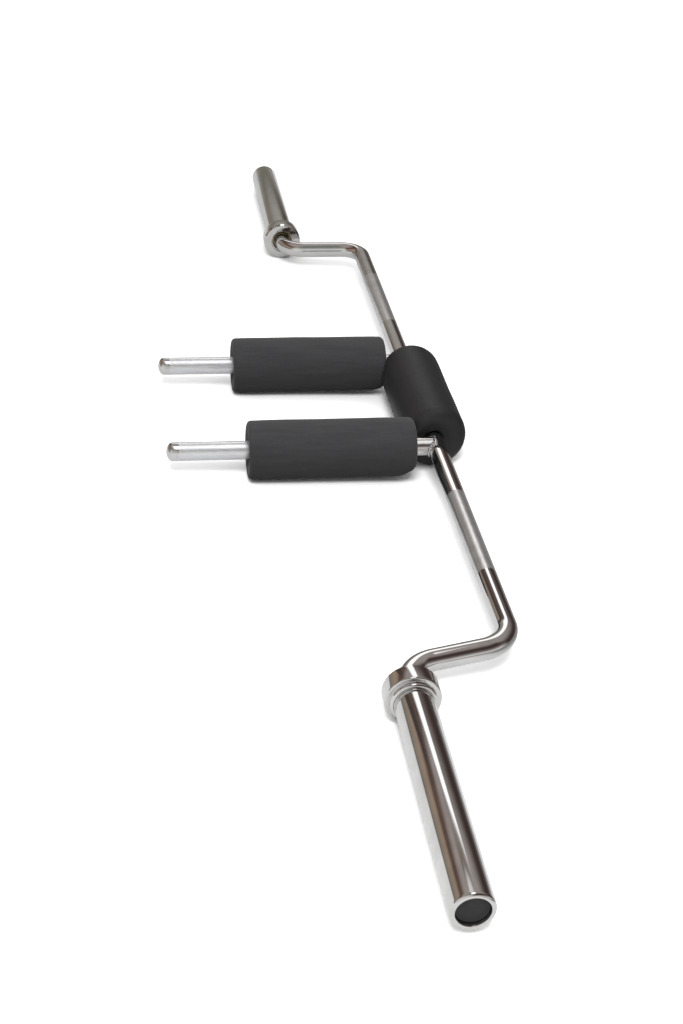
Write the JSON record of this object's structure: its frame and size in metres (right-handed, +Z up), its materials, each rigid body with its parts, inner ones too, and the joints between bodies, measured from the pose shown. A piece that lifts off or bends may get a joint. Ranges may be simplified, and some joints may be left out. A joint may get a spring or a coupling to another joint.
{
  "type": "safety squat bar",
  "caption": "Cambered squat bar with forward handles, a foam neck roll, foam shoulder rolls and turning plate sleeves.",
  "frame": {"origin": "middle of the outer box, on the floor that the bar lies on", "axes": "+X along the bar, -Y the way the handles point, +Z up"},
  "size_m": [2.184, 0.4548, 0.097],
  "materials": {
    "chrome": "polished chrome plate",
    "knurled_chrome": "fine knurl under chrome plate, polished tip",
    "weld": "plated weld bead",
    "bronze": "turned bronze, oiled",
    "spring_steel": "black spring steel",
    "washer_steel": "zinc plated",
    "plug": "matte black",
    "foam": "matte closed-cell foam"
  },
  "bodies": {
    "bar": {"main_shaft": "chrome", "right_handle": "knurled_chrome", "left_handle": "knurled_chrome", "right_handle_weld": "weld", "left_handle_weld": "weld", "neck_pad": "foam", "right_shoulder_pad": "foam", "left_shoulder_pad": "foam", "right_inner_thrust_washer": "washer_steel", "left_inner_thrust_washer": "washer_steel", "right_outer_thrust_washer": "washer_steel", "left_outer_thrust_washer": "washer_steel", "right_retaining_ring": "spring_steel", "left_retaining_ring": "spring_steel"},
    "right_sleeve": {"right_sleeve_tube": "chrome", "right_sleeve_collar": "chrome", "right_inner_bush": "bronze", "right_outer_bush": "bronze", "right_inner_bush_clip": "spring_steel", "right_outer_bush_inner_clip": "spring_steel", "right_outer_bush_outer_clip": "spring_steel", "right_end_plug": "plug"},
    "left_sleeve": {"left_sleeve_tube": "chrome", "left_sleeve_collar": "chrome", "left_inner_bush": "bronze", "left_outer_bush": "bronze", "left_inner_bush_clip": "spring_steel", "left_outer_bush_inner_clip": "spring_steel", "left_outer_bush_outer_clip": "spring_steel", "left_end_plug": "plug"}
  },
  "joints": [
    {"name": "right_sleeve_spin", "type": "hinge", "parent": "bar", "child": "right_sleeve", "pos_m": [0.9, 0.03743, 0.035], "axis": [1, 0, 0], "continuous": true},
    {"name": "left_sleeve_spin", "type": "hinge", "parent": "bar", "child": "left_sleeve", "pos_m": [-0.9, 0.03743, 0.035], "axis": [1, 0, 0], "continuous": true}
  ]
}
